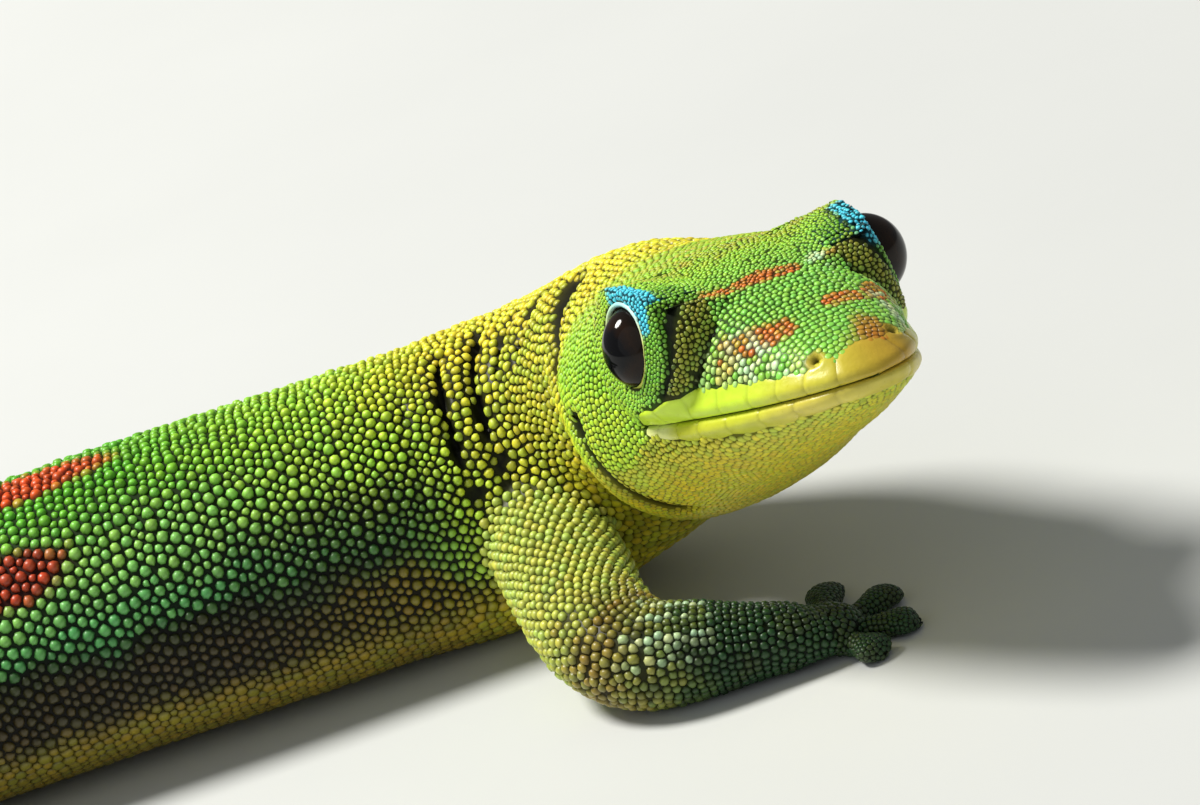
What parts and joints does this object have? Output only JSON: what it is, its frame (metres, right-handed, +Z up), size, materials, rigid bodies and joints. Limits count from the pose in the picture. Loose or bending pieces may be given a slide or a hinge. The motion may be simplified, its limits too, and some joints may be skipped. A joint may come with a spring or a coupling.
{
  "type": "gold dust day gecko",
  "caption": "Still, life-size day gecko resting on its belly and spread feet, head raised and turned to its right, tail in a gentle S on the floor.",
  "frame": {"origin": "on the floor under the middle of the belly", "axes": "+X forward along the trunk, +Y to the animal's left, +Z up"},
  "size_m": [0.1115, 0.0407, 0.0143],
  "materials": {
    "skin_head": "satin scaled skin, leaf green with lime lips and rust marks",
    "skin_neck": "satin scaled skin, yellow green dusted with gold",
    "skin_body": "satin scaled skin, bright green back, brown flank line and olive belly",
    "skin_tail": "satin scaled skin, green above and pale below",
    "skin_leg": "satin scaled skin, yellow green going to dark green hands and feet",
    "eye": "wet gloss, near black with a brown ring"
  },
  "bodies": {
    "root": {"head": "skin_head", "neck": "skin_neck", "torso_front": "skin_body", "torso_rear": "skin_body", "tail_base": "skin_tail", "tail_middle": "skin_tail", "tail_tip": "skin_tail", "eye_left": "eye", "eye_right": "eye", "right_fore_upper_arm": "skin_leg", "right_fore_forearm": "skin_leg", "right_fore_hand": "skin_leg", "left_fore_upper_arm": "skin_leg", "left_fore_forearm": "skin_leg", "left_fore_hand": "skin_leg", "right_hind_thigh": "skin_leg", "right_hind_shin": "skin_leg", "right_hind_foot": "skin_leg", "left_hind_thigh": "skin_leg", "left_hind_shin": "skin_leg", "left_hind_foot": "skin_leg"}
  },
  "joints": []
}
